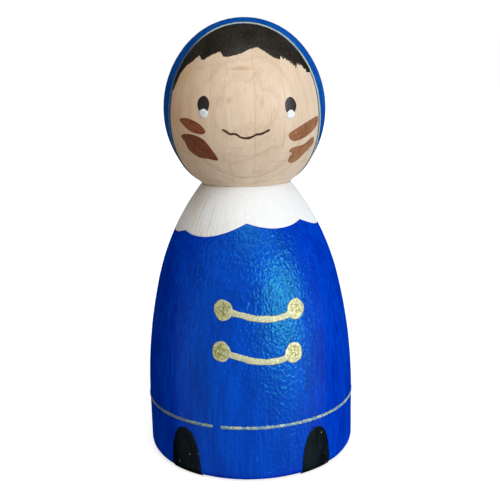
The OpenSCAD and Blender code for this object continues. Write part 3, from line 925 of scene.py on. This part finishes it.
def new_gold(name, thinness, ground=(0.0, 0.12, 0.5), grain=0.2):
    """Gold ink. The thinner it is drawn, the more of the ground under it is seen."""
    material, grains, shader = new_finish(name, gold_grains,
        {"Grain size": grain, "Thinness": thinness, "Ground": (*ground, 1)})
    # A dot dries palest along its rim, and a line is all rim: only the dots carry the distance inside
    inside = place(grains.tree, "ShaderNodeAttribute", attribute_name="inside")["Fac"]
    rim = ramp(inside, 0.9, 0.1, 0.0, 0.5 * (1 - thinness))
    feed(shader, {"Base Color": blend_colour(rim, grains["Color"], (0.78, 0.79, 0.56, 1)),
        "Roughness": grains["Roughness"], "Metallic": grains["Metallic"],
        "Specular IOR Level": 0.3 * (1 - thinness), "Normal": bump(grains["Height"], 0.03)})
    return material


# The left buttons' thinner, darker gold is painted shade
gold_dots = {"left": new_gold("left_gold_dots_painted_shade", 0.35, ground=(0.13, 0.15, 0.05), grain=0.26),
    "right": new_gold("right_gold_dots", 0.0, grain=0.26)}
gold_cord = new_gold("gold_cord", 0.2, ground=(0.04, 0.24, 0.42))
gold_hem = new_gold("gold_hem", 0.68, ground=(0.0, 0.22, 0.52), grain=0.3)
gold_trim = new_gold("gold_trim", 0.6, ground=(0.3, 0.44, 0.42))
# On the left, painted shade darkens the hood's gold line and the hem: where it begins and ends across the
# doll, and how dark it is
for material, begins, ends, share in ((gold_trim, -4.0, -11.0, 0.9), (gold_hem, -3.0, -20.0, 0.65)):
    across = split(in_millimetres(material.node_tree))[0]
    glaze(material, ramp(across, begins, ends, 0.0, share), (0.02, 0.03, 0.035, 1))

# Hood's gold line: one stroke of the pen along the hood's edge, from the groove on the left over
# the brow and down to the groove on the right. It covers the seam between the hair and the hood.
trim_w = 0.62
trim_overhang = 0.04
trim_path = even(hood_edge(trim_w / 2 - trim_overhang, coat_t - 2 * bite), 0.3)[1:-1]
trim = draw("hood_trim_line", trim_path, head_arcs, gold_trim, trim_w, height=0.11, waver=0.04,
    waver_length=0.35, pressure=0.12, seed=5)
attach(trim, "root")
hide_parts("hood_trim")

# Eyes: upright ovals of black paint, put on the bare wood with a fine brush. A drop of white over
# the lower end of each lights it up, and stands a little proud of it.
eye_turns = {"left": -27.9, "right": 31.9}
eye_lift_shares = {"left": 0.09, "right": -0.09}
eye_level = head_z + 1.2
eye_w = 2.55
eye_h = 3.2
glint_d = 1.85
glint_squash = 0.94
eye_black = new_paint("eye_black", (0.010, 0.008, 0.010), (0.024, 0.020, 0.026), (0.2, 0.2, 0.24),
    across=0.3, along=2.0, speck_share=0.01, relief=0.02, rough=0.3, gloss=0.4)
glint_white = new_paint("glint_white", (0.62, 0.72, 0.8), (0.84, 0.89, 0.92), (0.5, 0.55, 0.6),
    across=0.3, along=0.6, speck_share=0.01, relief=0.03, rough=0.35, gloss=0.3)


def oval(width, height, wobble=0.0, phase=0.0, bluntness=2, steps=72):
    """An oval about its own middle, uneven where it wobbles and fuller where it is blunt."""
    points = []
    for k in range(steps):
        turn = 2 * pi * k / steps
        c, s = cos(turn), sin(turn)
        grown = (abs(c) ** bluntness + abs(s) ** bluntness) ** (-1 / bluntness)
        grown *= 1 + wobble * (cos(3 * turn + phase) + sin(5 * turn + 2 * phase))
        points.append(grown * Vector((width * c, height * s)) / 2)
    return points


for side_name, eye_turn in eye_turns.items():
    eye_z = eye_level + eye_h * eye_lift_shares[side_name]
    eye_sheet = lay("eye_sheet", oval(eye_w, eye_h, 0.012, eye_turn),
        facing(eye_turn, eye_z, head_arcs), step=0.13, rim=0.06)
    eye = brush_on(side_name + "_eye_oval", eye_sheet, eye_black, 0.1, rim=0.14, ridge=0.015, across=0.3,
        along=2, seed=6)
    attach(eye, "root")
    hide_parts(side_name + "_eye")
    glint_sheet = lay("glint_sheet", oval(glint_d, glint_d * glint_squash, 0.03, eye_turn),
        facing(eye_turn, eye_z - eye_h / 2, head_arcs), step=0.11, rim=0.05)
    glint = brush_on(side_name + "_eye_drop", glint_sheet, glint_white, 0.2, rim=0.3, ridge=0.03,
        across=0.4, along=0.5, seed=7)
    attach(glint, "root")
    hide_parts(side_name + "_eye_glint")

# Mouth: a shaky smile drawn in one go on the bare wood with a fine dark brown pen. The line thins
# and thickens with the hand's pressure.
mouth_w = 8.9
mouth_depth = 1.75
mouth_z = head_z - 4.85
mouth_turn = 0.8
mouth_line_w = 0.43
mouth_shares = [(-1, 1), (-0.84, 0.74), (-0.67, 0.47), (-0.52, 0.5), (-0.38, 0.38), (-0.24, 0.13),
    (0, 0), (0.23, 0.12), (0.41, 0.35), (0.63, 0.43), (0.84, 0.65), (1, 0.86)]


def smooth(points, steps, closed=False):
    """A smooth line through points, or a loop through them where it is closed."""
    count = len(points)
    result = []
    for i in range(count if closed else count - 1):
        around = [(i + k) % count if closed else min(max(i + k, 0), count - 1) for k in (-1, 0, 1, 2)]
        a, b, c, d = (points[k] for k in around)
        for k in range(steps):
            t = k / steps
            result.append((2 * b + (c - a) * t + (2 * a - 5 * b + 4 * c - d) * t ** 2
                + (3 * b - a - 3 * c + d) * t ** 3) / 2)
    return result if closed else result + [points[-1]]


mouth_brown = new_paint("mouth_brown", (0.035, 0.018, 0.012), (0.08, 0.042, 0.028), (0.2, 0.12, 0.08),
    across=0.25, along=1.0, speck_share=0.01, relief=0.02, rough=0.5, gloss=0.2)
onto = facing(mouth_turn, mouth_z, head_arcs)
smile = smooth([Vector(share) for share in mouth_shares], steps=8)
mouth_path = [onto(x * mouth_w / 2, y * mouth_depth) for x, y in smile]
mouth = draw("mouth_stroke", even(mouth_path, 0.12), head_arcs, mouth_brown, mouth_line_w, height=0.08,
    waver=0.04, waver_length=0.25, pressure=0.22, seed=8)
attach(mouth, "root")
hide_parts("mouth_line")

# Cheeks: two thin strokes of brown on each side, laid with a flat brush from the nose outwards.
# The paint is thin enough for the grain to show, and darker where it dried along the edges.
cheek_l = 2 * head_r * sin(radians(27.9) / 2)
# Each stroke's turn, its drop below the eyes in head radii, its lean, and its outline in lengths
cheeks = {
    "left_upper_cheek": (-38.6, 0.225, -25, [(-0.40, 0.16), (-0.16, 0.19), (0.11, 0.12), (0.29, 0.02),
        (0.39, -0.12), (0.31, -0.19), (0.13, -0.18), (-0.11, -0.10), (-0.29, 0.03)]),
    "left_lower_cheek": (-37, 0.475, -32, [(-0.49, 0.27), (-0.28, 0.33), (0.10, 0.27), (0.32, 0.10),
        (0.47, -0.29), (0.20, -0.28), (-0.07, -0.24), (-0.32, -0.07), (-0.40, 0.13)]),
    "right_upper_cheek": (46, 0.285, 27, [(0.51, 0.27), (0.55, 0.12), (0.38, -0.05), (0.01, -0.23),
        (-0.27, -0.29), (-0.44, -0.23), (-0.50, -0.11), (-0.33, 0.00), (0.00, 0.14), (0.31, 0.24)]),
    "right_lower_cheek": (48, 0.545, 33, [(0.39, 0.30), (0.46, 0.15), (0.26, -0.02), (0.03, -0.21),
        (-0.13, -0.30), (-0.31, -0.27), (-0.35, -0.15), (-0.31, -0.05), (-0.43, 0.00), (-0.35, 0.09),
        (0.00, 0.15), (0.25, 0.28)])}
# The strokes on the right are mixed lighter and more orange than those on the left
cheek_browns = [((0.12, 0.03, 0.012, 1), (0.27, 0.083, 0.035, 1)),
    ((0.18, 0.063, 0.028, 1), (0.40, 0.185, 0.085, 1))]
for name, (cheek_turn, drop_share, lean, shares) in cheeks.items():
    stroke_lean = radians(90 - abs(lean)) * (1 if lean > 0 else -1)
    material, marks, shader = new_finish(name + "_brown", brush_marks,
        {"Across": 0.3, "Along": 2.5, "Speck share": 0.02, "Lean": stroke_lean})
    dried = place(marks.tree, "ShaderNodeAttribute", attribute_name="inside")["Fac"]
    thick, thin = cheek_browns["right" in name]
    colour = blend_colour(marks["Tone"], thick, thin)
    feed(shader, {"Base Color": blend_colour(ramp(dried, 0.5, 0.05, 0.0, 0.35), colour, thick),
        "Roughness": ramp(marks["Tone"], 0.0, 1.0, 0.5, 0.4), "Specular IOR Level": 0.2,
        "Normal": bump(marks["Height"], 0.03)})
    outline = smooth([Vector(share) * cheek_l for share in shares], steps=7, closed=True)
    onto = facing(cheek_turn, eye_level - drop_share * head_r, head_arcs)
    cheek_sheet = lay("cheek_sheet", outline, onto, step=0.16, rim=0.07)
    cheek = brush_on(name + "_stroke", cheek_sheet, material, 0.08, rim=0.12, ridge=0.04, across=0.3,
        along=3, seed=9, lean=stroke_lean)
    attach(cheek, "root")
    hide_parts(name)

# Coat fastenings: two gold frogs, each a sagging cord between two buttons, drawn over the varnished
# blue with the paint pen. The left buttons are painted darker, with a dark ground showing through, as
# painted shade.
frog_span = 14
frog_sag = 1.5
cord_w = 1.3
button_w = 3.45
button_h = 4
cord_shares = [(-1, 0), (-0.7, -0.35), (-0.45, -0.58), (-0.2, -0.87), (0.1, -1), (0.38, -1), (0.65, -0.8),
    (1, -0.25)]
# Each frog's height, turn and tilt
frogs = [("upper", 34.4, 6.3, -1.9), ("lower", 26.35, 4.2, -3.4)]
for i, (level, frog_z, frog_turn, tilt) in enumerate(frogs):
    lean = Matrix.Rotation(radians(tilt), 2)
    onto = facing(frog_turn, frog_z, body_arcs, coat_t - bite)
    cord_line = [lean @ Vector((x * (frog_span / 2), y * frog_sag)) for x, y in cord_shares]
    cord_path = [onto(p.x, p.y) for p in smooth(cord_line, steps=8)]
    cord = draw(level + "_frog_cord_line", even(cord_path, 0.2), body_arcs, gold_cord, cord_w,
        height=0.11, waver=0.05, waver_length=0.4, pressure=0.12, steps_across=11, seed=10 + i)
    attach(cord, "root")
    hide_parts(level + "_frog_cord")
    for side_name, side in (("left", -1), ("right", 1)):
        outline = [lean @ (p + Vector((side * frog_span / 2, 0))) for p in
            oval(button_w, button_h, 0.02, radians(75 * i + 40 * side))]
        button_sheet = lay("button_sheet", outline, onto, step=0.17, rim=0.07)
        button = brush_on(f"{level}_{side_name}_button_dot", button_sheet, gold_dots[side_name], 0.115,
            rim=0.35, ridge=0.04, across=0.4, along=0.6, seed=12 + side)
        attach(button, "root")
        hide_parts(f"{level}_{side_name}_button")

# Hem: a line of the same gold pen, drawn on the blue round the foot of the coat. Its two ends miss
# each other a little in front, and the ink is thin enough for the blue to show through.
hem_z = 11.65
hem_w = 0.7
hem_gap = 1.4
hem_gap_turn = radians(-18)
hem_steps = 360
hem_r = foot_r + coat_t - bite
hem_path = []
for k in range(hem_steps + 1):
    turn = hem_gap_turn + (hem_gap / 2 / foot_r) + (2 * pi - hem_gap / foot_r) * k / hem_steps
    hem_path.append(Vector(round_axis(hem_r, turn, hem_z)))
hem = draw("hem_stroke", hem_path, body_arcs, gold_hem, hem_w, height=0.11, waver=0.09,
    waver_length=0.35, pressure=0.15, seed=14)
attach(hem, "root")
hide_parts("hem_line")

# Boots: two black boot tips under the hem, brushed over the blue down to its lower edge. They stand
# apart and turned out, and pale specks of dust are caught in the black.
boot_turns = {"left": -37.5, "right": 36}
boot_w = 7.5
boot_h = 10.1
boot_shares = {"left": 1, "right": 0.957}
boot_step = 0.16
boot_black = new_paint("boot_black", (0.0015, 0.003, 0.004), (0.006, 0.012, 0.016), (0.5, 0.5, 0.42),
    across=0.5, along=5.0, speck_share=0.95, relief=0.1, rough=0.32, gloss=0.2, sheen=(0.5, 0.9, 1))
for side_name, boot_turn in boot_turns.items():
    share = boot_shares[side_name]
    tip = oval(boot_w * share, 2 * boot_h * share, bluntness=2.4, steps=240)
    half = [p for p in tip if p.y > paint_lift]
    foot = Vector((half[0].x, paint_lift))
    outline = even([foot] + half + [Vector((half[-1].x, paint_lift))], boot_step)
    outline += even([outline[-1], outline[0]], boot_step)[1:-1]
    boot_sheet = lay("boot_sheet", outline, facing(boot_turn, 0, body_arcs, coat_t - bite), step=0.24,
        rim=0.08)
    boot = brush_on(side_name + "_boot_tip", boot_sheet, boot_black, 0.11, rim=0.1, ridge=0.03,
        across=0.5, along=3, seed=15)
    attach(boot, "root")
    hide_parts(side_name + "_boot")
